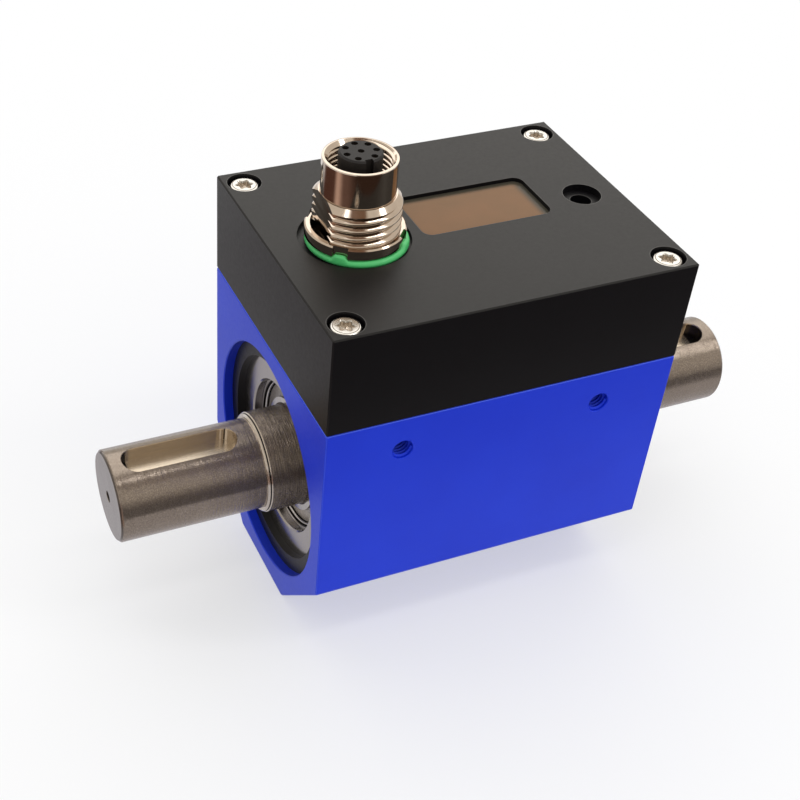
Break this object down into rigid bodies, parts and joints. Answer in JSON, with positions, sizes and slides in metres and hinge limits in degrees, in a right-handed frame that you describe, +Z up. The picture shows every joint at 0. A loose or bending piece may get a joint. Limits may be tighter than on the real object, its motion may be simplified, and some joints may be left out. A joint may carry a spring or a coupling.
{
  "type": "torque sensor",
  "caption": "Rotary torque sensor: square housing with a keyed through shaft in ball bearings, black cover with round cable connector, window and push button.",
  "frame": {"origin": "centre of the flat underside of the housing, below the middle of the shaft", "axes": "+X along the shaft towards the end away from the connector, -Y towards the face with the two threaded holes, +Z up through the cover"},
  "size_m": [0.133, 0.055, 0.0917],
  "materials": {
    "blue_anodised": "fine matt blue anodised aluminium",
    "black_anodised": "fine satin black anodised aluminium",
    "turned_steel": "finely turned stainless steel",
    "bright_carrier": "bright turned light alloy",
    "bearing_steel": "ground and polished bearing steel",
    "shield_steel": "pressed sheet steel",
    "cage_polymer": "natural moulded polymer",
    "stainless_screw": "stainless steel with machined heads",
    "nickel_plate": "polished nickel plate on brass",
    "green_rubber": "smooth green rubber",
    "black_rubber": "smooth black rubber",
    "insert_plastic": "matt black moulded plastic",
    "contact_metal": "thin gold plate on brass",
    "smoked_window": "smoked brown transparent plastic",
    "screen_glass": "dark display glass",
    "board_green": "green lacquered circuit board",
    "chip_black": "moulded black chip packages",
    "former_plastic": "natural moulded plastic",
    "winding_copper": "enamelled copper wire",
    "lead_insulation": "thin red plastic insulation",
    "gauge_foil": "amber polymer foil with metal grid",
    "disc_steel": "etched sheet steel",
    "button_plastic": "matt black moulded plastic"
  },
  "bodies": {
    "body": {"bearing_carrier_left": "bright_carrier", "bearing_carrier_right": "bright_carrier", "board_chips": "chip_black", "board_screws": "stainless_screw", "connector_contacts": "contact_metal", "connector_insert": "insert_plastic", "connector_nut": "nickel_plate", "connector_o_ring": "green_rubber", "connector_shell": "nickel_plate", "cover": "black_anodised", "cover_screws": "stainless_screw", "cover_seal": "black_rubber", "display_headers": "insert_plastic", "display_module": "board_green", "display_screen": "screen_glass", "display_window": "smoked_window", "end_ring_left": "black_anodised", "end_ring_right": "black_anodised", "housing": "blue_anodised", "lead_grommet": "black_rubber", "lead_plug": "insert_plastic", "main_board": "board_green", "outer_ring_left": "bearing_steel", "outer_ring_right": "bearing_steel", "pickup_pins": "contact_metal", "pickup_screws": "stainless_screw", "push_switch": "insert_plastic", "shield_wires_left": "bearing_steel", "shield_wires_right": "bearing_steel", "shields_left": "shield_steel", "shields_right": "shield_steel", "speed_pickup": "insert_plastic", "stator_former": "former_plastic", "stator_leads": "lead_insulation", "stator_winding": "winding_copper"},
    "shaft": {"torsion_shaft": "turned_steel", "strain_gauges": "gauge_foil", "gauge_leads": "lead_insulation", "rotor_former": "former_plastic", "rotor_winding": "winding_copper", "rotor_board": "board_green", "rotor_chips": "chip_black", "speed_disc": "disc_steel", "inner_ring_left": "bearing_steel", "inner_ring_right": "bearing_steel"},
    "ball_set_left": {"balls_left": "bearing_steel", "cage_left": "cage_polymer"},
    "ball_set_right": {"balls_right": "bearing_steel", "cage_right": "cage_polymer"},
    "button": {"button_plunger": "button_plastic", "switch_stem": "button_plastic"}
  },
  "joints": [
    {"name": "shaft_spin", "type": "hinge", "parent": "body", "child": "shaft", "pos_m": [0, 0, 0.0275], "axis": [1, 0, 0], "continuous": true},
    {"name": "ball_spin_left", "type": "hinge", "parent": "body", "child": "ball_set_left", "pos_m": [0, 0, 0.0275], "axis": [1, 0, 0], "continuous": true},
    {"name": "ball_spin_right", "type": "hinge", "parent": "body", "child": "ball_set_right", "pos_m": [0, 0, 0.0275], "axis": [1, 0, 0], "continuous": true},
    {"name": "button_press", "type": "slide", "parent": "body", "child": "button", "axis": [0, 0, -1], "range_m": [0, 0.0004], "stiffness_N_per_m": 2000, "springref_m": -0.0004}
  ],
  "couplings": [
    {"joint": "ball_spin_left", "follows": "shaft_spin", "ratio": 0.43269},
    {"joint": "ball_spin_right", "follows": "shaft_spin", "ratio": 0.43269}
  ]
}
